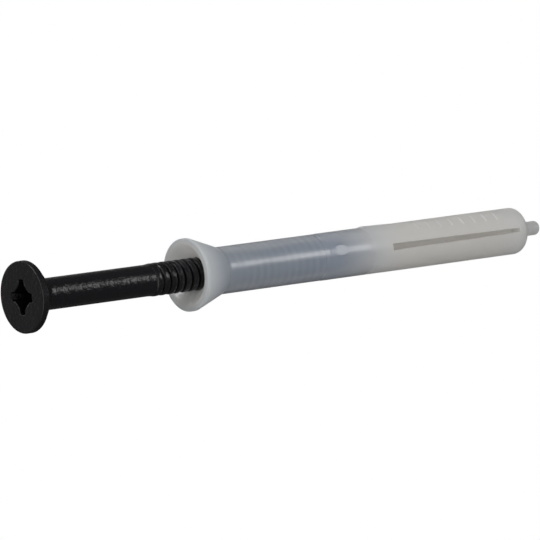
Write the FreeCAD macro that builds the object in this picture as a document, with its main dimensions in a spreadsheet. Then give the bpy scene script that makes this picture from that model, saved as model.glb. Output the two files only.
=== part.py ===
import FreeCAD, Part
import Sketcher
import math
import os

# Hammer fixing plug: a steel nail screw part-driven into a slotted nylon sleeve.
# Frame: Z is the common axis, z = 0 is the flat face of the nail's head, which
# the assembly stands on, and +Z runs to the sleeve's nose. The slot's mouth on
# the front of the sleeve faces -Y. Lengths in millimetres.

V = FreeCAD.Vector
doc = FreeCAD.newDocument("HammerFixing")

# ----------------------------------------------------------------- dimensions
sheet = doc.addObject("Spreadsheet::Sheet", "Dims")
DIMS = [
    # nail screw
    ("head_radius", 6.02, "flat head, outside"),
    ("head_rim", 1.19, "height of the head's upright rim"),
    ("head_edge_round", 0.2, "round on both edges of the rim"),
    ("head_depth", 4.25, "face to where the under-head cone meets the shank"),
    ("shank_radius", 2.665, "plain shank"),
    ("crest_radius", 2.80, "over the fine thread"),
    ("thread_start", 25.6, "first of the thread's run-in"),
    ("thread_full", 26.6, "thread at full height"),
    ("point_start", 65.1, "start of the nail's point"),
    ("nail_length", 75.0, "face to tip"),
    ("tip_radius", 0.25, "blunted tip"),
    # cross recess in the head
    ("wing_reach", 2.95, "recess wing, centre to tip at the face"),
    ("wing_tip_half", 0.70, "half width at the wing's tip"),
    ("wing_knee", 2.05, "where the wing begins to flare"),
    ("wing_knee_half", 0.79, "half width at the knee"),
    ("wing_root", 1.36, "corner between two wings"),
    ("wing_reach_low", 2.05, "recess wing reach at its floor"),
    ("wing_tip_half_low", 0.46, "half width at the tip, floor"),
    ("wing_knee_low", 1.36, "knee, floor"),
    ("wing_knee_half_low", 0.53, "half width at the knee, floor"),
    ("wing_root_low", 0.93, "corner between two wings, floor"),
    ("wing_depth", 2.3, "depth of the wings"),
    ("core_radius", 1.66, "conical core of the recess at the face"),
    ("core_radius_low", 1.0, "core at its shoulder"),
    ("core_depth", 2.6, "depth of the core's shoulder"),
    ("core_tip_depth", 3.1, "depth of the core's tip"),
    ("recess_turn", 7.3, "degrees, turn of the cross about the axis"),
    # sleeve
    ("collar_face", 33.89, "front face of the collar"),
    ("mouth_radius", 5.18, "countersink at the collar's face"),
    ("collar_radius", 6.18, "outside of the collar"),
    ("collar_land", 0.70, "height of the collar's upright rim"),
    ("collar_edge_round", 0.12, "round on the collar's front edge"),
    ("mouth_edge_round", 0.4, "round on the countersink's edge"),
    ("collar_end", 40.45, "foot of the collar's outer cone"),
    ("tube_radius", 4.0, "plain tube, outside"),
    ("tube_end", 61.95, "end of the plain tube, at a faint mould line"),
    ("neck_start", 62.1, "start of the neck past that line"),
    ("neck_radius", 4.04, "neck, outside"),
    ("neck_end", 75.0, "end of the neck"),
    ("spread_start", 76.0, "start of the expansion length"),
    ("spread_radius", 4.06, "expansion length, outside"),
    ("bore_radius", 2.90, "bore, clear of the thread's crest"),
    ("bore_end", 97.2, "where the bore begins to narrow"),
    ("bore_tip", 106.95, "floor of the blind bore"),
    ("bore_tip_radius", 0.45, "radius of that floor"),
    ("nose_corner", 106.21, "outer corner of the nose before rounding"),
    ("nose_round", 1.35, "round on that corner"),
    ("nose_top", 107.30, "nose cone where it meets the nub"),
    ("nub_radius", 1.23, "centring nub"),
    ("nub_end", 111.4, "end of the nub"),
    ("nub_round", 0.72, "round on the nub's end"),
    # slot through the front wall of the expansion length
    ("slot_start", 75.7, "slot end nearer the collar"),
    ("slot_end", 104.3, "slot end at the nose"),
    ("slot_half_start", 0.64, "half width at the start"),
    ("slot_half_end", 0.41, "half width at the nose"),
    ("slot_floor", 1.9, "height of the slot's floor above the axis"),
    # barb
    ("barb_start", 72.35, "steep face of the barb"),
    ("barb_lean", 0.12, "lean of the steep face"),
    ("barb_end", 79.0, "where the barb dies out"),
    ("barb_proud", 0.20, "height over the neck"),
    ("barb_spread", 36.0, "degrees, arc of the barb"),
    # grip ribs on the -X side
    ("rib_first", 82.33, "first rib"),
    ("rib_pitch", 2.53, "rib spacing"),
    ("rib_count", 8, "ribs in a row"),
    ("rib_foot_half", 0.29, "half width at the foot"),
    ("rib_top_half", 0.10, "half width at the top"),
    ("rib_proud", 0.075, "height over the wall"),
    ("rib_spread", 27.0, "degrees, arc of one rib"),
    ("rib_turn", 42.0, "degrees, middle of a row from -X"),
]
D = {}
for i, (name, value, note) in enumerate(DIMS, 1):
    sheet.set("A%d" % i, note)
    sheet.set("B%d" % i, "%g" % value)
    sheet.setAlias("B%d" % i, name)
    D[name] = value
doc.recompute()


# -------------------------------------------------------------------- helpers
def origin_of(body, role):
    for feature in body.Origin.OriginFeatures:
        if feature.Role == role:
            return feature
    raise RuntimeError("no " + role)


def new_sketch(body, name, plane, turn=0.0, turn_axis=None, lift=None):
    sk = body.newObject("Sketcher::SketchObject", name)
    sk.AttachmentSupport = [(origin_of(body, plane), "")]
    sk.MapMode = "FlatFace"
    rot = FreeCAD.Rotation(turn_axis or V(0, 0, 1), turn)
    sk.AttachmentOffset = FreeCAD.Placement(V(0, 0, 0), rot)
    if lift:
        sk.setExpression("AttachmentOffset.Base.z", lift)
    return sk


def value_of(expr):
    """Number of an expression made of sheet names."""
    total, sign = 0.0, 1.0
    for word in expr.replace("-", " - ").replace("+", " + ").split():
        if word == "-":
            sign = -1.0
        elif word == "+":
            sign = 1.0
        else:
            total += sign * (D[word[5:]] if word.startswith("Dims.") else float(word))
            sign = 1.0
    return total


def outline(sk, corners):
    """Closed outline. Each corner is (expression for x, expression for y)."""
    pts = [V(value_of(a), value_of(b), 0) for a, b in corners]
    n = len(pts)
    first = sk.GeometryCount
    for i in range(n):
        sk.addGeometry(Part.LineSegment(pts[i], pts[(i + 1) % n]), False)
    for i in range(n):
        sk.addConstraint(
            Sketcher.Constraint("Coincident", first + i, 2, first + (i + 1) % n, 1)
        )
    for i, (a, b) in enumerate(corners):
        for kind, expr, at in (("DistanceX", a, pts[i].x), ("DistanceY", b, pts[i].y)):
            if expr == "0":
                # on the axis
                axis = -2 if kind == "DistanceX" else -1
                sk.addConstraint(
                    Sketcher.Constraint("PointOnObject", first + i, 1, axis)
                )
                continue
            c = sk.addConstraint(
                Sketcher.Constraint(kind, -1, 1, first + i, 1, at)
            )
            if "Dims." in expr:
                sk.setExpression("Constraints[%d]" % c, expr)


def revolve(body, kind, name, sk, angle=360.0, angle_expr=None, middle=False):
    f = body.newObject(kind, name)
    f.Profile = sk
    f.ReferenceAxis = (sk, ["V_Axis"])
    f.Angle = angle
    if middle:
        f.Midplane = True
    if angle_expr:
        f.setExpression("Angle", angle_expr)
    sk.Visibility = False
    doc.recompute()
    return f


def ring_edges(shape, wanted):
    """Names of the full circles about Z at the given (radius, z) pairs."""
    names = []
    for i, e in enumerate(shape.Edges, 1):
        c = e.Curve
        if not isinstance(c, Part.Circle):
            continue
        for r, z in wanted:
            if (
                abs(c.Radius - r) < 1e-3
                and abs(c.Center.z - z) < 1e-3
                and math.hypot(c.Center.x, c.Center.y) < 1e-3
            ):
                names.append("Edge%d" % i)
    return names


def fillet(body, name, base, wanted, radius_expr):
    names = ring_edges(base.Shape, wanted)
    if len(names) < len(wanted):
        raise RuntimeError("%s: %d of %d edges" % (name, len(names), len(wanted)))
    f = body.newObject("PartDesign::Fillet", name)
    f.Base = (base, names)
    f.Radius = value_of(radius_expr)
    f.setExpression("Radius", radius_expr)
    doc.recompute()
    return f


# ----------------------------------------------------------------- nail screw
nail = doc.addObject("PartDesign::Body", "NailScrew")
nail.Label = "nail_screw"

sk = new_sketch(nail, "NailProfile", "XZ_Plane")
outline(
    sk,
    [
        ("0", "0"),
        ("Dims.head_radius", "0"),
        ("Dims.head_radius", "Dims.head_rim"),
        ("Dims.shank_radius", "Dims.head_depth"),
        ("Dims.shank_radius", "Dims.thread_start"),
        ("Dims.crest_radius", "Dims.thread_full"),
        ("Dims.crest_radius", "Dims.point_start"),
        ("Dims.tip_radius", "Dims.nail_length"),
        ("0", "Dims.nail_length"),
    ],
)
turned = revolve(nail, "PartDesign::Revolution", "NailBlank", sk)

rounded = fillet(
    nail,
    "HeadEdges",
    turned,
    [(D["head_radius"], 0.0), (D["head_radius"], D["head_rim"])],
    "Dims.head_edge_round",
)

# One pair of wings of the cross recess, flared towards the core and narrowing
# with depth, then the second pair a quarter turn on.
top = new_sketch(nail, "WingMouth", "XY_Plane", D["recess_turn"])
low = new_sketch(nail, "WingFloor", "XY_Plane", D["recess_turn"], None, "Dims.wing_depth")
for s, tail in ((top, ""), (low, "_low")):
    reach, tip = "Dims.wing_reach" + tail, "Dims.wing_tip_half" + tail
    knee, half = "Dims.wing_knee" + tail, "Dims.wing_knee_half" + tail
    root = "Dims.wing_root" + tail
    outline(
        s,
        [
            (reach, "-" + tip),
            (reach, tip),
            (knee, half),
            (root, root),
            ("-" + root, root),
            ("-" + knee, half),
            ("-" + reach, tip),
            ("-" + reach, "-" + tip),
            ("-" + knee, "-" + half),
            ("-" + root, "-" + root),
            (root, "-" + root),
            (knee, "-" + half),
        ],
    )
    s.setExpression("AttachmentOffset.Rotation.Angle", "Dims.recess_turn")
doc.recompute()
before = rounded.Shape.Volume
wings = nail.newObject("PartDesign::SubtractiveLoft", "RecessWings")
wings.Profile = top
wings.Sections = [low]
wings.Ruled = True
doc.recompute()
assert wings.Shape.Volume < before - 5, "wings cut nothing"
before = wings.Shape.Volume
cross = nail.newObject("PartDesign::PolarPattern", "RecessCross")
cross.Originals = [wings]
cross.Axis = (origin_of(nail, "Z_Axis"), [""])
cross.Angle = 90
cross.Occurrences = 2
nail.Tip = cross
doc.recompute()
assert cross.Shape.Volume < before - 1, "second wings cut nothing"

before = cross.Shape.Volume
sk = new_sketch(nail, "RecessCoreProfile", "XZ_Plane")
outline(
    sk,
    [
        ("0", "0"),
        ("Dims.core_radius", "0"),
        ("Dims.core_radius_low", "Dims.core_depth"),
        ("0", "Dims.core_tip_depth"),
    ],
)
core = revolve(nail, "PartDesign::Groove", "RecessCore", sk)
assert core.Shape.Volume < before - 0.5, "core cuts nothing"
nail.Tip = core
top.Visibility = low.Visibility = False
doc.recompute()

# --------------------------------------------------------------------- sleeve
sleeve = doc.addObject("PartDesign::Body", "Sleeve")
sleeve.Label = "sleeve"

# The countersink has the slope of the head's underside, so its foot follows.
sheet.set("A90", "foot of the countersink, where it meets the bore")
sheet.set(
    "B90",
    "=collar_face + (mouth_radius - bore_radius) * (head_depth - head_rim)"
    " / (head_radius - shank_radius)",
)
sheet.setAlias("B90", "mouth_foot")
doc.recompute()
D["mouth_foot"] = float(sheet.get("mouth_foot"))

sk = new_sketch(sleeve, "SleeveProfile", "XZ_Plane")
outline(
    sk,
    [
        ("Dims.mouth_radius", "Dims.collar_face"),
        ("Dims.collar_radius", "Dims.collar_face"),
        ("Dims.collar_radius", "Dims.collar_face + Dims.collar_land"),
        ("Dims.tube_radius", "Dims.collar_end"),
        ("Dims.tube_radius", "Dims.tube_end"),
        ("Dims.neck_radius", "Dims.neck_start"),
        ("Dims.neck_radius", "Dims.neck_end"),
        ("Dims.spread_radius", "Dims.spread_start"),
        ("Dims.spread_radius", "Dims.nose_corner"),
        ("Dims.nub_radius", "Dims.nose_top"),
        ("Dims.nub_radius", "Dims.nub_end"),
        ("0", "Dims.nub_end"),
        ("0", "Dims.bore_tip"),
        ("Dims.bore_tip_radius", "Dims.bore_tip"),
        ("Dims.bore_radius", "Dims.bore_end"),
        ("Dims.bore_radius", "Dims.mouth_foot"),
    ],
)
moulded = revolve(sleeve, "PartDesign::Revolution", "SleeveBlank", sk)

f = fillet(
    sleeve,
    "CollarEdge",
    moulded,
    [(D["collar_radius"], D["collar_face"])],
    "Dims.collar_edge_round",
)
f = fillet(
    sleeve,
    "MouthEdge",
    f,
    [(D["mouth_radius"], D["collar_face"])],
    "Dims.mouth_edge_round",
)
f = fillet(
    sleeve, "NoseEdge", f, [(D["spread_radius"], D["nose_corner"])], "Dims.nose_round"
)
f = fillet(sleeve, "NubEdge", f, [(D["nub_radius"], D["nub_end"])], "Dims.nub_round")

# Barb: a low wedge on the -X side, steep towards the collar, so that the
# sleeve can't back out of its hole.
before = f.Shape.Volume
sk = new_sketch(sleeve, "BarbProfile", "XZ_Plane")
outline(
    sk,
    [
        ("-Dims.neck_radius + 0.6", "Dims.barb_start"),
        ("-Dims.neck_radius", "Dims.barb_start"),
        ("-Dims.neck_radius - Dims.barb_proud", "Dims.barb_start + Dims.barb_lean"),
        ("-Dims.spread_radius + 0.02", "Dims.barb_end"),
        ("-Dims.neck_radius + 0.6", "Dims.barb_end"),
    ],
)
barb = revolve(
    sleeve, "PartDesign::Revolution", "Barb", sk,
    D["barb_spread"], "Dims.barb_spread", True,
)
assert barb.Shape.Volume > before + 0.2, "barb adds nothing"

# Two rows of low grip ribs, either side of the middle of the -X side.
before = barb.Shape.Volume
ribs = []
for side in (1, -1):
    sk = new_sketch(
        sleeve, "RibProfile%d" % (len(ribs) + 1), "XZ_Plane",
        side * D["rib_turn"], V(0, 1, 0),
    )
    outline(
        sk,
        [
            ("-Dims.spread_radius + 0.15", "Dims.rib_first - Dims.rib_foot_half"),
            ("-Dims.spread_radius", "Dims.rib_first - Dims.rib_foot_half"),
            (
                "-Dims.spread_radius - Dims.rib_proud",
                "Dims.rib_first - Dims.rib_top_half",
            ),
            (
                "-Dims.spread_radius - Dims.rib_proud",
                "Dims.rib_first + Dims.rib_top_half",
            ),
            ("-Dims.spread_radius", "Dims.rib_first + Dims.rib_foot_half"),
            ("-Dims.spread_radius + 0.15", "Dims.rib_first + Dims.rib_foot_half"),
        ],
    )
    ribs.append(
        revolve(
            sleeve, "PartDesign::Revolution", "Rib%d" % (len(ribs) + 1), sk,
            D["rib_spread"], "Dims.rib_spread", True,
        )
    )
assert ribs[1].Shape.Volume > before + 0.02, "ribs add nothing"
before = ribs[1].Shape.Volume
rows = sleeve.newObject("PartDesign::LinearPattern", "RibRows")
rows.Originals = ribs
rows.Direction = (origin_of(sleeve, "Z_Axis"), [""])
rows.Length = D["rib_pitch"] * (D["rib_count"] - 1)
rows.setExpression("Length", "Dims.rib_pitch * (Dims.rib_count - 1)")
rows.Occurrences = int(D["rib_count"])
sleeve.Tip = rows
doc.recompute()
assert rows.Shape.Volume > before + 0.1, "rib rows add nothing"

# Slot through the front wall of the expansion length, narrowing towards the
# nose. It opens into the bore, except near the nose, where the bore is already
# narrower than the slot is deep and the slot has a floor of its own.
before = rows.Shape.Volume
sk = new_sketch(
    sleeve, "SlotOutline", "XZ_Plane", 0.0, None, "Dims.slot_floor"
)
outline(
    sk,
    [
        ("-Dims.slot_half_start", "Dims.slot_start"),
        ("Dims.slot_half_start", "Dims.slot_start"),
        ("Dims.slot_half_end", "Dims.slot_end"),
        ("-Dims.slot_half_end", "Dims.slot_end"),
    ],
)
slot = sleeve.newObject("PartDesign::Pocket", "Slot")
slot.Profile = sk
slot.Type = "Length"
slot.Length = D["spread_radius"]
slot.setExpression("Length", "Dims.spread_radius")
slot.Reversed = True
sk.Visibility = False
doc.recompute()
assert slot.Shape.Volume < before - 25, "slot cuts nothing"
assert slot.Shape.isInside(V(0, 3.5, 90), 0.01, False), "slot is on the wrong side"
assert not slot.Shape.isInside(V(0, -3.5, 90), 0.01, False), "slot is closed"
sleeve.Tip = slot
doc.recompute()

# --------------------------------------------------------------------- checks
for obj in doc.Objects:
    bad = [s for s in obj.State if s in ("Invalid", "Error")]
    if bad:
        raise RuntimeError("%s is %s" % (obj.Name, bad))
PARTS = (nail, sleeve)
for body in PARTS:
    shape = body.Shape
    if shape.isNull() or not shape.isValid() or len(shape.Solids) != 1:
        raise RuntimeError("%s has no single valid solid" % body.Label)

os.makedirs("parts", exist_ok=True)
for body in PARTS:
    body.Shape.exportStep(os.path.join("parts", body.Label + ".step"))
    b = body.Shape.BoundBox
    print(
        "%-12s volume %.1f mm3  box %.2f..%.2f  %.2f..%.2f  %.2f..%.2f"
        % (
            body.Label, body.Shape.Volume,
            b.XMin, b.XMax, b.YMin, b.YMax, b.ZMin, b.ZMax,
        )
    )
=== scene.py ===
import math

import bmesh
import bpy
import numpy as np
from mathutils import Matrix, Vector


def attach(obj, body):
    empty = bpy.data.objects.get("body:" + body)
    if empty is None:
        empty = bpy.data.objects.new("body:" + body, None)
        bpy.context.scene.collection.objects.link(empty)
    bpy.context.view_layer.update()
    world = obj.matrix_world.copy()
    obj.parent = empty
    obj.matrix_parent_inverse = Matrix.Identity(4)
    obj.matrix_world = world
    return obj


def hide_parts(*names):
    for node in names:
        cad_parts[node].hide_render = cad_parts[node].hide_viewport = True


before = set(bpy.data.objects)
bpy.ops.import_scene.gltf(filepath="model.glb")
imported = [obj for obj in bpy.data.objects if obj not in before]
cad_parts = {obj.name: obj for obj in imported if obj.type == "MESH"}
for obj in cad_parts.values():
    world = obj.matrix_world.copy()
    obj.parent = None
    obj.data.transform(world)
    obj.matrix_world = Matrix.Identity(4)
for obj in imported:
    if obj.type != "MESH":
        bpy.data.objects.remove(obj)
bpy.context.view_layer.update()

MM = 0.001

# ------------------------------------------------------------------- camera
# Image axes: x right, y down, z away. The common axis of nail and sleeve runs
# away from the camera at 52.4 degrees to the line of sight.
THETA = math.radians(52.38)
ALPHA = 0.1358
UNITS = 6.1  # picture units per millimetre at the head
a = np.array([math.sin(THETA) * math.cos(ALPHA), -math.sin(THETA) * math.sin(ALPHA), math.cos(THETA)])
n = (a * a[2] - np.array([0, 0, 1.0])) / math.sin(THETA)
u = np.cross(n, a)
TO_PART = np.array([-u, -n, a])


def to_part(w):
    return TO_PART @ np.asarray(w, float)


eye = to_part(np.array([270 - 21.49, 270 - 297.49, -6000.0]) / UNITS) * MM
right, up, back = to_part((1, 0, 0)), to_part((0, -1, 0)), to_part((0, 0, -1))
cam_data = bpy.data.cameras.new("Camera")
cam_data.sensor_width = 36.0
cam_data.lens = 36.0 * 6000.0 / 540.0
cam_data.clip_start, cam_data.clip_end = 0.05, 20.0
camera = bpy.data.objects.new("Camera", cam_data)
bpy.context.scene.collection.objects.link(camera)
m = Matrix.Identity(4)
for i in range(3):
    m[i][0], m[i][1], m[i][2], m[i][3] = right[i], up[i], back[i], eye[i]
camera.matrix_world = m
bpy.context.scene.camera = camera

# ------------------------------------------------------------ node helpers


def new_material(name):
    mat = bpy.data.materials.new(name)
    mat.use_nodes = True
    nt = mat.node_tree
    nt.nodes.clear()
    return mat, nt


def node(nt, kind, inputs=None, **props):
    nd = nt.nodes.new(kind)
    for k, v in props.items():
        setattr(nd, k, v)
    for k, v in (inputs or {}).items():
        if isinstance(v, bpy.types.NodeSocket):
            nt.links.new(v, nd.inputs[k])
        else:
            nd.inputs[k].default_value = v
    return nd


def ramp(nt, fac, stops):
    nd = nt.nodes.new("ShaderNodeValToRGB")
    cr = nd.color_ramp
    while len(cr.elements) < len(stops):
        cr.elements.new(0.5)
    for e, (p, c) in zip(cr.elements, stops):
        e.position = p
        e.color = (c, c, c, 1.0) if isinstance(c, (int, float)) else (*c, 1.0)
    nt.links.new(fac, nd.inputs[0])
    return nd.outputs[0]


def math_node(nt, op, *vals, clamp=False):
    nd = nt.nodes.new("ShaderNodeMath")
    nd.operation = op
    nd.use_clamp = clamp
    for i, v in enumerate(vals):
        if isinstance(v, bpy.types.NodeSocket):
            nt.links.new(v, nd.inputs[i])
        else:
            nd.inputs[i].default_value = v
    return nd.outputs[0]


def noise(nt, vec, scale, detail=3.0, rough=0.55):
    return node(nt, "ShaderNodeTexNoise", {"Vector": vec, "Scale": scale, "Detail": detail, "Roughness": rough})


TURN = math.radians(7.3)

# ---------------------------------------------------------------- materials
def black_coating(name, dark, light, gloss, smooth=0.14):
    """Black phosphate-like coating: even and dark, with small dents that break
    up a highlight, and a few patches that are smoother than the rest."""
    mat, nt = new_material(name)
    co = node(nt, "ShaderNodeTexCoord").outputs["Object"]
    dents = noise(nt, co, 1450.0, 2.0, 0.55).outputs[0]
    grain = noise(nt, co, 4200.0, 2.0, 0.5).outputs[0]
    broad = noise(nt, co, 260.0, 2.0, 0.5).outputs[0]
    tone = node(nt, "ShaderNodeMix", {"Factor": broad}, data_type="RGBA")
    tone.inputs[6].default_value = dark
    tone.inputs[7].default_value = light
    rough = ramp(nt, dents, [(0.38, smooth - 0.01), (0.63, smooth + 0.11)])
    h = math_node(nt, "ADD", dents, math_node(nt, "MULTIPLY", grain, 0.16))
    bump = node(nt, "ShaderNodeBump", {"Height": h, "Strength": 0.8, "Distance": 0.00013})
    bsdf = node(nt, "ShaderNodeBsdfPrincipled", {
        "Base Color": tone.outputs[2], "Roughness": rough, "Normal": bump.outputs[0],
        "Specular IOR Level": gloss,
    })
    node(nt, "ShaderNodeOutputMaterial", {"Surface": bsdf.outputs[0]})
    return mat


def along_sleeve(nt, z, stops):
    """Value or colour that changes along the sleeve, stops in millimetres."""
    place = math_node(nt, "MULTIPLY", z, 1 / 0.12)
    return ramp(nt, place, [(mm / 120.0, v) for mm, v in stops])


def nylon(name, see, tints, inner=False, gloss=0.9):
    """Milky nylon. The outside bends the light that passes through it, so the
    bore and the nail in it fill the sleeve's width; the bore's own wall only
    veils them. The thick collar and nose let less through than the tube."""
    mat, nt = new_material(name)
    co = node(nt, "ShaderNodeTexCoord").outputs["Object"]
    place = node(nt, "ShaderNodeSeparateXYZ", {0: co})
    x, z = place.outputs[0], place.outputs[2]
    thin = along_sleeve(nt, z, [
        (35.4, 0.12), (41.0, 1.0), (58.0, 1.0), (65.0, 0.94), (70.5, 0.76), (75.0, 0.50), (100.5, 0.50), (105.5, 0.12),
    ])
    blur = along_sleeve(nt, z, [(56.0, 0.13), (69.0, 0.50)])
    broad = noise(nt, co, 190.0, 3.0, 0.5).outputs[0]
    fine = noise(nt, co, 1900.0, 3.0, 0.6).outputs[0]
    # colour along the sleeve, from the table given with each material; these tables paint shade and light into the
    # colour
    tint = along_sleeve(nt, z, tints)
    mott = ramp(nt, broad, [(0.25, 0.93), (0.75, 1.0)])
    tone = node(nt, "ShaderNodeMix", data_type="RGBA", blend_type="MULTIPLY")
    tone.inputs[0].default_value = 1.0
    nt.links.new(tint, tone.inputs[6])
    nt.links.new(mott, tone.inputs[7])
    if inner:
        matt = along_sleeve(nt, z, [(36.0, 0.13), (38.0, 0.30)])
    else:
        matt = along_sleeve(nt, z, [(39.4, 0.50), (40.5, 0.12), (70.0, 0.13), (73.5, 0.46)])
    rough = math_node(nt, "MULTIPLY", matt, ramp(nt, fine, [(0.3, 0.85), (0.7, 1.15)]))
    bump = node(nt, "ShaderNodeBump", {"Height": fine, "Strength": 0.12, "Distance": 0.00003})
    if not inner:
        # a few hair-thin flow marks, and the oval mark of an ejector pin
        lines = noise(nt, co, 330.0, 1.0, 0.5).outputs[0]
        line = math_node(nt, "ABSOLUTE", math_node(nt, "SUBTRACT", lines, 0.47))
        line = node(nt, "ShaderNodeMapRange", {0: line, 1: 0.034, 2: 0.0}, interpolation_type="SMOOTHSTEP").outputs[0]
        line = math_node(nt, "MULTIPLY", line, ramp(nt, noise(nt, co, 120.0, 1.0, 0.5).outputs[0], [(0.53, 0.0), (0.60, 0.024)]))
        dx = math_node(nt, "MULTIPLY_ADD", x, 1 / 0.00105, 0.66)
        dz = math_node(nt, "MULTIPLY_ADD", z, 1 / 0.0015, -0.0645 / 0.0015)
        front = math_node(nt, "LESS_THAN", place.outputs[1], 0.0)
        far = math_node(nt, "SQRT", math_node(nt, "ADD", math_node(nt, "MULTIPLY", dx, dx), math_node(nt, "MULTIPLY", dz, dz)))
        oval = node(nt, "ShaderNodeMapRange", {0: far, 1: 1.10, 2: 0.86}, interpolation_type="SMOOTHSTEP").outputs[0]
        flat = math_node(nt, "MULTIPLY_ADD", math_node(nt, "MULTIPLY", dx, dx), 0.13, 0.03)
        marks = math_node(nt, "MULTIPLY_ADD", math_node(nt, "MULTIPLY", oval, front), flat, line)
        bump = node(nt, "ShaderNodeBump", {"Height": marks, "Strength": 1.0, "Distance": 0.001, "Normal": bump.outputs[0]})
    body = node(nt, "ShaderNodeBsdfPrincipled", {
        "Base Color": tone.outputs[2], "Roughness": rough, "Normal": bump.outputs[0],
        "Specular IOR Level": gloss if inner else 0.0, "IOR": 1.5,
        "Subsurface Radius": (1.0, 0.97, 0.92), "Subsurface Scale": 0.003,
    })
    if inner:
        nt.links.new(along_sleeve(nt, z, [(72.0, 0.0), (78.0, 1.0)]), body.inputs["Subsurface Weight"])
    glow = node(nt, "ShaderNodeBsdfTranslucent", {"Color": (0.96, 0.95, 0.92, 1)})
    milk = node(nt, "ShaderNodeMixShader", {0: 0.42, 1: body.outputs[0], 2: glow.outputs[0]})
    if inner:
        nt.links.new(along_sleeve(nt, z, [(36.8, 0.50), (40.0, 0.15), (70.0, 0.15), (77.0, 0.42)]), milk.inputs[0])
        # towards the tube's edges the bore's wall is met so flat that it mirrors
        through = node(nt, "ShaderNodeBsdfGlass", {"Color": (0.99, 0.94, 0.88, 1), "Roughness": 0.06, "IOR": 1.5})
    else:
        through = node(nt, "ShaderNodeBsdfRefraction", {"Color": (0.975, 0.97, 0.955, 1), "Roughness": blur, "IOR": 1.5})
    share = ramp(nt, broad, [(0.3, see - 0.02), (0.7, see + 0.02)])
    share = math_node(nt, "MULTIPLY", share, thin)
    if not inner:
        # the nail's thread shows through as faint bands that follow its helix
        turn = math_node(nt, "ARCTAN2", place.outputs[1], x)
        turn = math_node(nt, "MULTIPLY_ADD", turn, -1 / (2 * math.pi), TURN / (2 * math.pi) - 24.42 / 1.51 - 0.21)
        wave = math_node(nt, "COSINE", math_node(nt, "MULTIPLY", math_node(nt, "MULTIPLY_ADD", z, 1 / 0.00151, turn), 2 * math.pi))
        patchy = ramp(nt, noise(nt, co, 260.0, 1.0, 0.5).outputs[0], [(0.40, 0.25), (0.62, 1.0)])
        depth = math_node(nt, "MULTIPLY", patchy, along_sleeve(nt, z, [(40.5, 0.0), (43.0, 0.06), (60.0, 0.06), (68.0, 0.0)]))
        share = math_node(nt, "MULTIPLY", share, math_node(nt, "SUBTRACT", 1.0, math_node(nt, "MULTIPLY", wave, depth)))
    surf = node(nt, "ShaderNodeMixShader", {0: share, 1: milk.outputs[0], 2: through.outputs[0]})
    if not inner:
        # the skin's own shine lies over everything that is seen through it
        edge = node(nt, "ShaderNodeFresnel", {"IOR": 1.46, "Normal": bump.outputs[0]}).outputs[0]
        edge = math_node(nt, "MULTIPLY", edge, along_sleeve(nt, z, [(39.0, 0.45), (40.5, 1.0), (70.0, 1.0), (73.5, 0.45)]))
        skin = node(nt, "ShaderNodeBsdfGlossy", {"Color": (1.0, 1.0, 1.0, 1), "Roughness": rough, "Normal": bump.outputs[0]})
        surf = node(nt, "ShaderNodeMixShader", {0: edge, 1: surf.outputs[0], 2: skin.outputs[0]})
    node(nt, "ShaderNodeOutputMaterial", {"Surface": surf.outputs[0]})
    return mat


STEEL = black_coating("black_coated_steel", (0.0066, 0.0065, 0.0076, 1), (0.0100, 0.0099, 0.0113, 1), 0.30)
STEEL_RIM = black_coating("black_coated_steel_rim", (0.0060, 0.0060, 0.0069, 1), (0.0095, 0.0095, 0.0106, 1), 0.12, 0.42)
# Inside the cross recess, a much darker and duller coating: painted shade of the hollow.
STEEL_RECESS_SHADE = black_coating("black_coated_steel_recess_painted_shade", (0.0012, 0.0012, 0.0013, 1), (0.0022, 0.0022, 0.0024, 1), 0.06)
# In the thread's grooves, a darker and duller coating: painted shade of the grooves.
STEEL_GROOVE_SHADE = black_coating("black_coated_steel_groove_painted_shade", (0.0018, 0.0018, 0.0020, 1), (0.0028, 0.0028, 0.0032, 1), 0.08)
# Outside colour along the sleeve: darker and bluer where the nail sits in the tube, about 39 to 75 mm, as painted shade
# of the dark nail seen through the wall. It is also a little darker at the collar, and darker at the nose.
NYLON = nylon("natural_nylon", 0.52, [
    (34.5, (0.665, 0.70, 0.735)), (38.8, (0.60, 0.675, 0.795)), (64.0, (0.565, 0.66, 0.83)),
    (75.0, (0.745, 0.765, 0.785)), (79.0, (0.73, 0.735, 0.735)), (104.0, (0.745, 0.745, 0.745)), (107.3, (0.52, 0.53, 0.53)),
])
# Bore colour along the sleeve: near white in the countersink (a little warmer deeper in) and past the nail, as painted
# light on the inside where little light reaches. Darker and bluer where the nail sits in it, about 40 to 76 mm, as
# painted shade of the nail.
NYLON_BORE = nylon("natural_nylon_bore", 0.74, [
    (33.9, (0.86, 0.86, 0.86)), (36.5, (0.90, 0.88, 0.86)), (40.5, (0.60, 0.69, 0.80)), (76.0, (0.98, 0.975, 0.965)),
], True, 0.7)
# The ribs are tinted near white, lighter than the sleeve around them: painted highlight where the ribs catch the light.
NYLON_RIB_HIGHLIGHT = nylon("natural_nylon_rib_painted_highlight", 0.38, [(84.0, (0.86, 0.86, 0.86)), (92.0, (0.99, 0.99, 0.99)), (104.0, (0.99, 0.99, 0.99))])
# Slot walls, end walls and floor: tinted near white, as painted light in the slot's shaded inside. Darker past 101 mm,
# as painted shade on the floor at the slot's closed end.
NYLON_SLOT = nylon("natural_nylon_slot", 0.22, [(75.0, (0.985, 0.97, 0.95)), (100.6, (0.985, 0.97, 0.95)), (101.4, (0.80, 0.80, 0.79))], True, 0.3)


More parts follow.
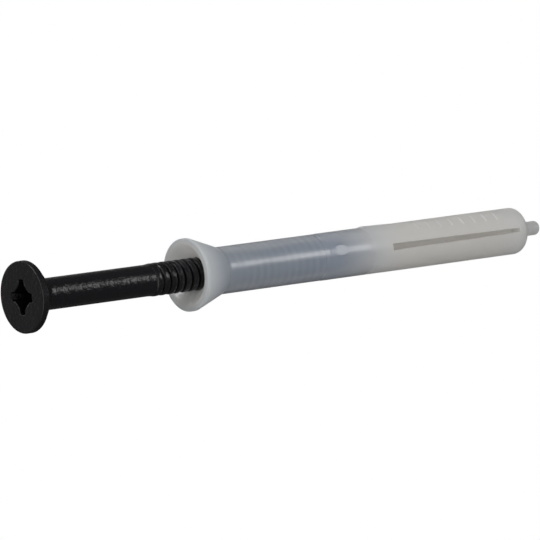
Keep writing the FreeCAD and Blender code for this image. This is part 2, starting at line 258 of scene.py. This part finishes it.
# ------------------------------------------------------------- mesh helpers
class Build:
    def __init__(self):
        self.v, self.f, self.mat = [], [], []

    def add(self, pts):
        start = len(self.v)
        self.v.extend([tuple(p) for p in pts])
        return list(range(start, len(self.v)))

    def strip(self, r0, r1, closed=True, mat=0):
        """Quads between two rows of points."""
        k = len(r0)
        for i in range(k if closed else k - 1):
            j = (i + 1) % k
            q = (r0[i], r0[j], r1[j], r1[i])
            self.f.append(q)
            self.mat.append(mat)

    def fan(self, ring, tip, mat=0):
        for i in range(len(ring)):
            self.f.append((ring[i], ring[(i + 1) % len(ring)], tip))
            self.mat.append(mat)

    def make(self, name, mats, weld=1e-8, sharp=35.0, flip=False):
        bm = bmesh.new()
        vs = [bm.verts.new((x * MM, y * MM, z * MM)) for x, y, z in self.v]
        for q, mi in zip(self.f, self.mat):
            q = list(dict.fromkeys(q))
            if len(q) < 3:
                continue
            try:
                face = bm.faces.new([vs[i] for i in q])
            except ValueError:
                continue
            face.material_index = mi
            face.smooth = True
        bmesh.ops.remove_doubles(bm, verts=bm.verts, dist=weld)
        bmesh.ops.dissolve_degenerate(bm, edges=bm.edges, dist=weld)
        loose = [v for v in bm.verts if not v.link_faces]
        bmesh.ops.delete(bm, geom=loose, context="VERTS")
        bmesh.ops.recalc_face_normals(bm, faces=bm.faces)
        me = bpy.data.meshes.new(name)
        bm.to_mesh(me)
        bm.free()
        for mt in mats:
            me.materials.append(mt)
        me.set_sharp_from_angle(angle=math.radians(sharp))
        ob = bpy.data.objects.new(name, me)
        bpy.context.scene.collection.objects.link(ob)
        return ob


def arc(cx, cz, r, a0, a1, k):
    """Points (radius, z) on an arc, angles in degrees from +radius towards +z."""
    return [
        (cx + r * math.cos(math.radians(a0 + (a1 - a0) * i / k)), cz + r * math.sin(math.radians(a0 + (a1 - a0) * i / k)))
        for i in range(k + 1)
    ]


def fillet_corner(p0, p1, p2, r, k=4):
    """Arc that rounds the corner p1 between p0 and p2."""
    p0, p1, p2 = (np.array(p, float) for p in (p0, p1, p2))
    d0, d1 = p0 - p1, p2 - p1
    d0 /= np.linalg.norm(d0)
    d1 /= np.linalg.norm(d1)
    half = math.acos(max(-1, min(1, float(d0 @ d1)))) / 2
    t = r / math.tan(half)
    c = p1 + (d0 + d1) / np.linalg.norm(d0 + d1) * (r / math.sin(half))
    s, e = p1 + d0 * t - c, p1 + d1 * t - c
    out = []
    for i in range(k + 1):
        w = i / k
        ang = math.acos(max(-1, min(1, float(s @ e) / (r * r))))
        v = (math.sin((1 - w) * ang) * s + math.sin(w * ang) * e) / math.sin(ang)
        out.append(tuple(c + v))
    return out


# --------------------------------------------------------------- nail screw
HEAD_R, RIM, EDGE, HEAD_D, SHANK, CREST = 6.02, 1.19, 0.2, 4.25, 2.665, 2.80
THREAD0, THREAD1, POINT0, LENGTH, TIP = 25.6, 26.6, 65.1, 75.0, 0.25
PITCH, ROOT, PHASE = 1.51, 2.36, 0.22


def wing_radius(phi, depth):
    """Polar radius of the cross recess at that depth, wings only."""
    t = depth / 2.3
    mix = lambda p, q: p + (q - p) * t
    reach, tip = mix(2.95, 2.05), mix(0.70, 0.46)
    knee, half = mix(2.05, 1.36), mix(0.79, 0.53)
    root = mix(1.36, 0.93)
    best = 0.0
    q = (phi - TURN + math.pi / 4) % (math.pi / 2) - math.pi / 4
    s = abs(q)
    d = (math.cos(s), math.sin(s))
    poly = [(reach, 0.0), (reach - 0.05, tip * 0.8), (reach - 0.16, tip), (knee, half), (root, root)]
    for p, e in zip(poly, poly[1:]):
        ex, ey = e[0] - p[0], e[1] - p[1]
        den = d[0] * ey - d[1] * ex
        if abs(den) < 1e-12:
            continue
        r = (p[0] * ey - p[1] * ex) / den
        w = ((d[0] * r - p[0]) * ex + (d[1] * r - p[1]) * ey) / (ex * ex + ey * ey)
        if -1e-6 <= w <= 1 + 1e-6:
            best = max(best, r)
    return best


def core_radius(depth):
    if depth <= 2.6:
        return 1.66 + (1.0 - 1.66) * depth / 2.6
    return max(0.0, 1.0 * (3.1 - depth) / 0.5)


def make_nail():
    b = Build()
    cols = 240
    phis = [2 * math.pi * i / cols + TURN for i in range(cols)]

    def ring(rad, z):
        return b.add([((rad(p) if callable(rad) else rad) * math.cos(p), (rad(p) if callable(rad) else rad) * math.sin(p), z) for p in phis])

    mouth = lambda p: max(wing_radius(p, 0.0), core_radius(0.0))
    # recess, from its tip outwards
    tip = b.add([(0, 0, 3.1)])[0]
    rings = []
    for d in (3.0, 2.8, 2.6, 2.45, 2.3):
        rings.append(ring(core_radius(d), d))
    for d in (2.3, 2.1, 1.8, 1.5, 1.2, 0.9, 0.6, 0.3, 0.12):
        rings.append(ring(lambda p, d=d: max(wing_radius(p, d), core_radius(d)), d))
    n_recess = len(rings)
    # rolled lip of the recess
    for grow, z in ((0.02, 0.07), (0.06, 0.03), (0.12, 0.006), (0.2, 0.0)):
        rings.append(ring(lambda p, g=grow: mouth(p) + g, z))
    outer = HEAD_R - EDGE
    for w in (0.06, 0.14, 0.24, 0.36, 0.5, 0.65, 0.8, 0.92, 1.0):
        rings.append(ring(lambda p, w=w: (mouth(p) + 0.2) * (1 - w) + outer * w, 0.0))
    # rim, under-head cone, plain shank
    n_rim = len(rings) + 4
    prof = arc(HEAD_R - EDGE, EDGE, EDGE, -90, 0, 5)[1:]
    prof += fillet_corner((HEAD_R, 0.0), (HEAD_R, RIM), (SHANK, HEAD_D), EDGE, 5)
    end = fillet_corner((HEAD_R, RIM), (SHANK, HEAD_D), (SHANK, 20.0), 0.5, 4)
    s0 = prof[-1]
    for w in (0.2, 0.4, 0.6, 0.8):
        prof.append((s0[0] + (end[0][0] - s0[0]) * w, s0[1] + (end[0][1] - s0[1]) * w))
    prof += end
    z = end[-1][1]
    steps = 24
    prof += [(SHANK, z + (24.2 - z) * i / steps) for i in range(1, steps + 1)]
    for r, zz in prof:
        rings.append(ring(r, zz))
    # same column count down to the thread
    cols2 = 120
    phis2 = [2 * math.pi * i / cols2 + TURN for i in range(cols2)]
    last = rings[-1]
    # The recess's faces get material 1, its painted shade. The rim and the under-head cone get material 3.
    b.fan(rings[0], tip, 1)
    for i, (r0, r1) in enumerate(zip(rings, rings[1:])):
        rim = i == n_rim or n_rim + 6 <= i < n_rim + 11
        b.strip(r0, r1, mat=1 if i < n_recess else 3 if rim else 0)
    # thread: rows follow the helix, clamped to flat rings at both ends
    offs = [0.0, 0.04, 0.08, 0.12, 0.165, 0.21, 0.255, 0.30, 0.34, 0.38, 0.42, 0.52, 0.62, 0.71, 0.80, 0.90]
    per = len(offs)

    def radius_at(z, f):
        """f is the place across the pitch, 0..1; the groove is at 0..0.42."""
        if z <= POINT0:
            base = SHANK + (CREST - SHANK) * min(1, max(0, (z - THREAD0) / (THREAD1 - THREAD0)))
        else:
            base = CREST + (TIP - CREST) * (z - POINT0) / (LENGTH - POINT0)
        g = 0.0
        if f < 0.42:
            g = (0.5 - 0.5 * math.cos(2 * math.pi * f / 0.42)) ** 0.75
        crown = 0.06 * (math.cos(2 * math.pi * (f - 0.71)) - 1) / 2
        fade = min(1, max(0, (z - THREAD0) / 2.2)) * min(1, max(0, (73.0 - z) / 3.0))
        depth = (CREST - ROOT) if z < POINT0 else (CREST - ROOT) * 0.9
        return base + fade * (crown - depth * g)

    z_lo, z_hi = 24.2, 74.4
    rows = int(math.ceil((z_hi - z_lo) / PITCH)) + 2
    grid = []
    for k in range(-2, rows + 1):
        for o in offs:
            row = []
            for j in range(cols2 + 1):
                zz = z_lo + PHASE + (k + o) * PITCH + PITCH * j / cols2
                zc = min(z_hi, max(z_lo, zz))
                f = o
                p = 2 * math.pi * j / cols2 + TURN
                r = radius_at(zc, f) if zc == zz else radius_at(zc, ((zc - z_lo - PHASE) / PITCH - j / cols2) % 1.0)
                row.append((r * math.cos(p), r * math.sin(p), zc))
            grid.append(row)
    idx = [b.add(r) for r in grid]
    for k, (r0, r1) in enumerate(zip(idx, idx[1:])):
        mid_f = (offs[k % per] + (offs + [1.0])[k % per + 1]) / 2
        for j in range(cols2):
            q = (r0[j], r0[j + 1], r1[j + 1], r1[j])
            zs = [b.v[i][2] for i in q]
            if max(zs) - min(zs) < 1e-9:
                continue
            b.f.append(q)
            # faces deep in a groove get material 2, its painted shade
            b.mat.append(2 if 0.08 < mid_f < 0.34 and min(zs) > THREAD0 + 1.2 else 0)
    # join the 240-column shank to the 120-column thread
    first = b.add([(SHANK * math.cos(p), SHANK * math.sin(p), 24.2) for p in phis2])
    for i in range(cols2):
        j = (i + 1) % cols2
        b.f.append((last[2 * i], last[(2 * i + 1) % cols], last[(2 * i + 2) % cols], first[j], first[i]))
        b.mat.append(0)
    # blunt tip
    r_end = radius_at(z_hi, 0.65)
    t0 = b.add([(radius_at(z_hi, ((z_hi - z_lo - PHASE) / PITCH - j / cols2) % 1.0) * math.cos(p), radius_at(z_hi, ((z_hi - z_lo - PHASE) / PITCH - j / cols2) % 1.0) * math.sin(p), z_hi) for j, p in enumerate(phis2)])
    t1 = b.add([(TIP * math.cos(p), TIP * math.sin(p), 74.93) for p in phis2])
    t2 = b.add([(TIP * 0.6 * math.cos(p), TIP * 0.6 * math.sin(p), 75.0) for p in phis2])
    b.strip(t0, t1)
    b.strip(t1, t2)
    b.fan(t2, b.add([(0, 0, 75.0)])[0])
    return b.make("nail_screw_detail", [STEEL, STEEL_RECESS_SHADE, STEEL_GROOVE_SHADE, STEEL_RIM], weld=2e-9, sharp=40.0)


nail = make_nail()
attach(nail, "nail")
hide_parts("nail_screw")

# ------------------------------------------------------------------- sleeve
FACE, MOUTH, COLLAR, LAND = 33.89, 5.18, 6.17, 0.70
COLLAR_END, TUBE, TUBE_END, NECK0, NECK, NECK_END = 40.45, 4.0, 61.95, 62.1, 4.04, 75.0
SPREAD0, SPREAD, BORE, BORE_END, BORE_TIP, BORE_TIP_R = 76.0, 4.06, 2.90, 97.2, 106.95, 0.45
CORNER, NOSE_R, NOSE_TOP, NUB, NUB_END, NUB_R = 106.21, 1.35, 107.30, 1.23, 111.4, 0.72
SLOT0, SLOT1, HALF0, HALF1, FLOOR = 75.7, 104.3, 0.64, 0.41, 1.9
BARB0, BARB1, BARB_UP = 72.35, 79.0, 0.20
RIB0, RIB_PITCH, RIBS = 82.33, 2.53, 8
MOUTH_FOOT = FACE + (MOUTH - BORE) * (HEAD_D - RIM) / (HEAD_R - SHANK)


def bore_at(z):
    if z <= BORE_END:
        return BORE
    return BORE + (BORE_TIP_R - BORE) * (z - BORE_END) / (BORE_TIP - BORE_END)


def half_at(z):
    return HALF0 + (HALF1 - HALF0) * (z - SLOT0) / (SLOT1 - SLOT0)


# the slot's walls lean in a little towards the bore, as a mould needs
LEAN = 0.11


def make_sleeve():
    b = Build()
    # outer profile from the collar's front edge to the nub
    prof = [(5.7, FACE), (5.9, FACE)]
    prof += fillet_corner((5.0, FACE), (COLLAR, FACE), (COLLAR, FACE + LAND), 0.12, 4)
    prof += [(COLLAR, FACE + LAND - 0.12)]
    prof += fillet_corner((COLLAR, FACE), (COLLAR, FACE + LAND), (TUBE, COLLAR_END), 0.35, 3)
    end = fillet_corner((COLLAR, FACE + LAND), (TUBE, COLLAR_END), (TUBE, 50.0), 3.2, 9)
    s0 = prof[-1]
    for i in range(1, 8):
        w = i / 8
        prof.append((s0[0] + (end[0][0] - s0[0]) * w, s0[1] + (end[0][1] - s0[1]) * w))
    prof += end
    z0 = end[-1][1]
    prof += [(TUBE, z0 + (TUBE_END - z0) * i / 22) for i in range(1, 23)]
    prof += [(TUBE - 0.006, TUBE_END + 0.07), (TUBE + 0.012, TUBE_END + 0.13), (NECK, NECK0 + 0.22)]
    zs = [62.8, 64, 65.5, 67, 68.5, 70, 71.2, BARB0 - 0.02, BARB0 + 0.03, BARB0 + 0.10, BARB0 + 0.16, BARB0 + 0.6, 73.6, 74.2, 74.8, 75.3]
    prof += [(NECK + 0.02 * max(0.0, z - NECK_END), z) for z in sorted(zs)]
    slot_rows = [SLOT0, 76.0, 76.6, 77.2, 77.8, 78.4, BARB1, 79.6, 80.3, 81.1]
    for i in range(RIBS):
        c = RIB0 + i * RIB_PITCH
        slot_rows += [c - 0.30, c - 0.18, c - 0.09, c, c + 0.09, c + 0.18, c + 0.30, c + 0.85, c + 1.4, c + 1.9]
    slot_rows = [z for z in slot_rows if z < SLOT1 - 0.2]
    slot_rows += [101.0, 101.6, 102.6, 103.4, SLOT1]
    slot_rows = sorted(set(round(z, 4) for z in slot_rows))
    keep = [slot_rows[0]]
    for z in slot_rows[1:]:
        if z - keep[-1] > 0.04:
            keep.append(z)
    slot_rows = keep
    i_s0 = len(prof)
    for z in slot_rows:
        w = min(1, max(0, (z - NECK_END) / (SPREAD0 - NECK_END)))
        prof.append((NECK + (SPREAD - NECK) * w, z))
    i_s1 = len(prof) - 1
    nose = fillet_corner((SPREAD, 90.0), (SPREAD, CORNER), (NUB, NOSE_TOP), NOSE_R, 9)
    prof += [(SPREAD, 104.55)] + nose
    foot = fillet_corner((SPREAD, CORNER), (NUB, NOSE_TOP), (NUB, NUB_END), 0.22, 4)
    s0 = prof[-1]
    for w in (0.3, 0.65):
        prof.append((s0[0] + (foot[0][0] - s0[0]) * w, s0[1] + (foot[0][1] - s0[1]) * w))
    prof += foot
    cap = fillet_corner((NUB, NOSE_TOP), (NUB, NUB_END), (0.0, NUB_END), NUB_R, 8)
    z0 = foot[-1][1]
    prof += [(NUB, z0 + (cap[0][1] - z0) * w) for w in (0.3, 0.6, 0.85)] + cap
    prof += [(0.25, NUB_END)]

    cols = 160
    # column angles measured from the slot's mouth (-Y); the slot's edges are
    # columns -SC and +SC
    SC = 4

    def angles(edge):
        """Column angles with the slot's edges at +-edge."""
        out = []
        for j in range(cols):
            k = j if j <= cols // 2 else j - cols
            s = abs(k)
            if s <= SC:
                ang = edge * s / SC
            else:
                t = (s - SC) / (cols / 2 - SC)
                ang = edge + (math.pi - edge) * t
            out.append(math.copysign(ang, k) if k else 0.0)
        return out

    def at(r, z, ang):
        return (r * math.sin(ang), -r * math.cos(ang), z)

    def bulge(z, ang):
        """Barb and ribs: extra radius at angle ang from -Y (towards +X)."""
        # angle from -X, which is at ang = -90 degrees
        d = (math.degrees(ang) + 90 + 180) % 360 - 180
        up = 0.0
        if BARB0 < z < BARB1 + 0.01 and abs(d) < 19.5:
            if z < BARB0 + 0.12:
                h = BARB_UP * (z - BARB0) / 0.12
            else:
                h = BARB_UP * (BARB1 - z) / (BARB1 - BARB0 - 0.12)
            side = min(1.0, max(0.0, (19.5 - abs(d)) / 2.5))
            up = max(0.0, h) * side
        if z > RIB0 - 0.4:
            i = round((z - RIB0) / RIB_PITCH)
            if 0 <= i < RIBS:
                dz = abs(z - (RIB0 + i * RIB_PITCH))
                h = 0.078 * min(1.0, max(0.0, (0.29 - dz) / 0.19))
                da = abs(abs(d) - 42.0)
                side = min(1.0, max(0.0, (15.5 - da) / 4.5))
                up = max(up, h * side)
        return up

    edge_free = math.asin(HALF0 / SPREAD)

    def edge_angle(z, r):
        if z < SLOT0:
            return edge_free
        if z > SLOT1:
            return math.asin(HALF1 / SPREAD)
        return math.asin(half_at(z) / r)

    rings = []
    for r, z in prof:
        angs = angles(edge_angle(z, max(r, 1.0) if r > 3 else SPREAD))
        rings.append(b.add([at(r + bulge(z, t), z, t) for t in angs]))
    tip = b.add([(0, 0, NUB_END)])[0]
    b.fan(rings[-1], tip)

    def hole_cell(j):
        k = j if j < cols // 2 else j - cols
        return -SC <= k < SC

    angs_mid = angles(edge_angle(90.0, SPREAD))
    for i, (r0, r1) in enumerate(zip(rings, rings[1:])):
        for j in range(cols):
            if i_s0 <= i < i_s1 and hole_cell(j):
                continue
            jj = (j + 1) % cols
            b.f.append((r0[j], r0[jj], r1[jj], r1[j]))
            # faces on top of a rib get material 3, the painted highlight
            z, t = (prof[i][1] + prof[i + 1][1]) / 2, (angs_mid[j] + angs_mid[jj]) / 2
            b.mat.append(3 if z > RIB0 - 0.4 and i_s0 <= i < i_s1 and bulge(z, t) > 0.03 else 0)

    # bore, from the countersink's edge to its tip
    bprof = fillet_corner((5.9, FACE), (MOUTH, FACE), (BORE, MOUTH_FOOT), 1.15, 10)
    s0, e0 = bprof[-1], (BORE, MOUTH_FOOT)
    csk = fillet_corner(s0, e0, (BORE, 60.0), 0.3, 3)
    for w in (0.25, 0.5, 0.75):
        bprof.append((s0[0] + (csk[0][0] - s0[0]) * w, s0[1] + (csk[0][1] - s0[1]) * w))
    bprof += csk
    z0 = csk[-1][1]
    bprof += [(BORE, z0 + (75.0 - z0) * i / 30) for i in range(1, 31)]
    z_m = 101.0
    b_s0 = len(bprof)
    rows_b = [z for z in slot_rows if z <= z_m + 1e-6]
    for z in rows_b:
        bprof.append((bore_at(z), z))
    b_s1 = len(bprof) - 1
    bprof += [(bore_at(z), z) for z in (101.6, 102.6, 103.6, 104.6, 105.6, 106.4, 106.95)]
    bprof += [(0.2, BORE_TIP)]
    brings = []
    for r, z in bprof:
        if z < SLOT0:
            e = math.asin((HALF0 - LEAN) / BORE) if r < 3.2 else edge_free
        elif z <= z_m + 1e-6:
            e = math.asin((half_at(z) - LEAN) / r)
        else:
            e = math.asin(min(0.9, (half_at(z_m) - LEAN) / bore_at(z_m)))
        brings.append(b.add([at(r, z, t) for t in angles(e)]))
    btip = b.add([(0, 0, BORE_TIP)])[0]
    b.fan(brings[-1], btip, 1)
    for i, (r0, r1) in enumerate(zip(brings, brings[1:])):
        for j in range(cols):
            if b_s0 <= i < b_s1 and hole_cell(j):
                continue
            jj = (j + 1) % cols
            b.f.append((r0[j], r0[jj], r1[jj], r1[j]))
            b.mat.append(1)
    # collar's face joins the two profiles
    b.strip(brings[0], rings[0])

    # slot walls, end walls and floor take material 2, with its painted light and shade
    # slot walls
    def pick(ring_, k):
        return ring_[k % cols]

    outer_rows = [rings[i] for i in range(i_s0, i_s1 + 1)]
    inner_rows = [brings[i] for i in range(b_s0, b_s1 + 1)]
    n_in = len(inner_rows)
    # floor past the place where the bore is narrower than the slot is deep
    floor_rows = []
    for z in slot_rows[n_in:]:
        h = half_at(z) - LEAN
        floor_rows.append(b.add([(h * k / SC, -FLOOR, z) for k in range(-SC, SC + 1)]))
    low = [[pick(r, k) for k in range(-SC, SC + 1)] for r in inner_rows] + floor_rows
    high = [[pick(r, k) for k in range(-SC, SC + 1)] for r in outer_rows]
    parts = 3
    for side in (0, -1):
        prev = None
        for lo_row, hi_row in zip(low, high):
            lo_v, hi_v = np.array(b.v[lo_row[side]]), np.array(b.v[hi_row[side]])
            mids = b.add([lo_v + (hi_v - lo_v) * w / parts for w in range(1, parts)])
            line = [lo_row[side]] + mids + [hi_row[side]]
            if prev:
                b.strip(prev, line, closed=False, mat=2)
            prev = line
    # end walls and floor
    b.strip(low[0], high[0], closed=False, mat=2)
    b.strip(low[-1], high[-1], closed=False, mat=2)
    rows = [low[n_in - 1]] + floor_rows
    for r0, r1 in zip(rows, rows[1:]):
        b.strip(r0, r1, closed=False, mat=2)
    return b.make("sleeve_detail", [NYLON, NYLON_BORE, NYLON_SLOT, NYLON_RIB_HIGHLIGHT], weld=2e-9, sharp=32.0)


sleeve = make_sleeve()
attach(sleeve, "plug")
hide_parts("sleeve")

# -------------------------------------------------------------------- floor
floor_mesh = bpy.data.meshes.new("floor")
S = 4.0
floor_mesh.from_pydata([(-S, -S, 0), (S, -S, 0), (S, S, 0), (-S, S, 0)], [], [(0, 1, 2, 3)])
floor = bpy.data.objects.new("floor", floor_mesh)
floor.location = (0, 0, -0.00006)
bpy.context.scene.collection.objects.link(floor)
fmat, nt = new_material("pale_floor")
co = node(nt, "ShaderNodeTexCoord").outputs["Object"]
grain = noise(nt, co, 30.0, 3.0, 0.5).outputs[0]
tone = ramp(nt, grain, [(0.3, 0.80), (0.7, 0.84)])
diff = node(nt, "ShaderNodeBsdfDiffuse", {"Color": tone})
# the floor runs up into the white of the studio's backdrop
far = node(nt, "ShaderNodeVectorMath", {0: co}, operation="LENGTH").outputs["Value"]
lift = ramp(nt, math_node(nt, "MULTIPLY", far, 0.5), [(0.10, 0.60), (0.75, 0.82)])
glow = node(nt, "ShaderNodeEmission", {"Color": (1.0, 1.0, 1.0, 1), "Strength": lift})
both = node(nt, "ShaderNodeAddShader", {0: diff.outputs[0], 1: glow.outputs[0]})
geo = node(nt, "ShaderNodeNewGeometry")
clear = node(nt, "ShaderNodeBsdfTransparent")
one = node(nt, "ShaderNodeMixShader", {0: geo.outputs["Backfacing"], 1: both.outputs[0], 2: clear.outputs[0]})
node(nt, "ShaderNodeOutputMaterial", {"Surface": one.outputs[0]})
floor_mesh.materials.append(fmat)
floor.visible_shadow = False
floor.visible_diffuse = False
floor.visible_glossy = False
floor.visible_transmission = False

# ------------------------------------------------------------------- lights
world = bpy.data.worlds.new("studio")
bpy.context.scene.world = world
world.use_nodes = True
nt = world.node_tree
nt.nodes.clear()
gen = node(nt, "ShaderNodeTexCoord").outputs["Generated"]

# Soft lights of a studio: direction in image axes (x right, y down, z away),
# tightness, level. A negative tightness is a round panel with a soft edge, of
# that many degrees radius.
LOBES = [
    ((0.000, -0.819, -0.574), 12.0, 0.69), ((-0.497, -0.819, -0.287), 12.0, 1.06),
    ((0.000, -0.342, -0.940), 12.0, 0.96), ((-0.552, -0.342, 0.760), 12.0, 1.60),
    ((-0.552, -0.342, -0.760), 12.0, 1.22), ((0.290, 0.342, -0.894), 12.0, 2.56),
    ((-0.940, 0.342, 0.000), 12.0, 0.19), ((0.000, 0.819, -0.574), 12.0, 0.90),
    ((0.960, -0.208, -0.187), -9.0, 1.37), ((0.910, -0.375, -0.177), -9.0, 3.95),
    ((0.832, -0.530, -0.162), -9.0, 0.79), ((-0.545, -0.766, -0.341), 220.0, 4.60),
    ((-0.163, -0.985, 0.059), 120.0, 4.40), ((-0.157, -0.985, -0.073), 120.0, 3.30),
    ((-0.059, -0.985, -0.163), 120.0, 2.38), ((0.696, -0.174, -0.696), 120.0, 3.80),
    ((-0.569, -0.669, -0.478), -6.0, 6.00),
]
level = None
for d, tight, amount in LOBES:
    dot = nt.nodes.new("ShaderNodeVectorMath")
    dot.operation = "DOT_PRODUCT"
    nt.links.new(gen, dot.inputs[0])
    dot.inputs[1].default_value = tuple(float(x) for x in to_part(d))
    if tight > 0:
        lobe = math_node(nt, "POWER", math_node(nt, "MAXIMUM", dot.outputs["Value"], 0.0), tight)
    else:
        lo, hi = math.cos(math.radians(2.0 - tight)), math.cos(math.radians(-2.0 - tight))
        lobe = node(nt, "ShaderNodeMapRange", {0: dot.outputs["Value"], 1: lo, 2: hi}, interpolation_type="SMOOTHSTEP").outputs[0]
    level = math_node(nt, "MULTIPLY_ADD", lobe, amount, 0.07 if level is None else level)
path = node(nt, "ShaderNodeLightPath")
soft = node(nt, "ShaderNodeBackground", {"Color": (1, 1, 1, 1), "Strength": level})
white = node(nt, "ShaderNodeBackground", {"Color": (1, 1, 1, 1), "Strength": 1.0})
sel = node(nt, "ShaderNodeMixShader", {0: path.outputs["Is Camera Ray"], 1: soft.outputs[0], 2: white.outputs[0]})
node(nt, "ShaderNodeOutputWorld", {"Surface": sel.outputs[0]})

scene = bpy.context.scene
scene.view_settings.view_transform = "Standard"
scene.view_settings.look = "None"
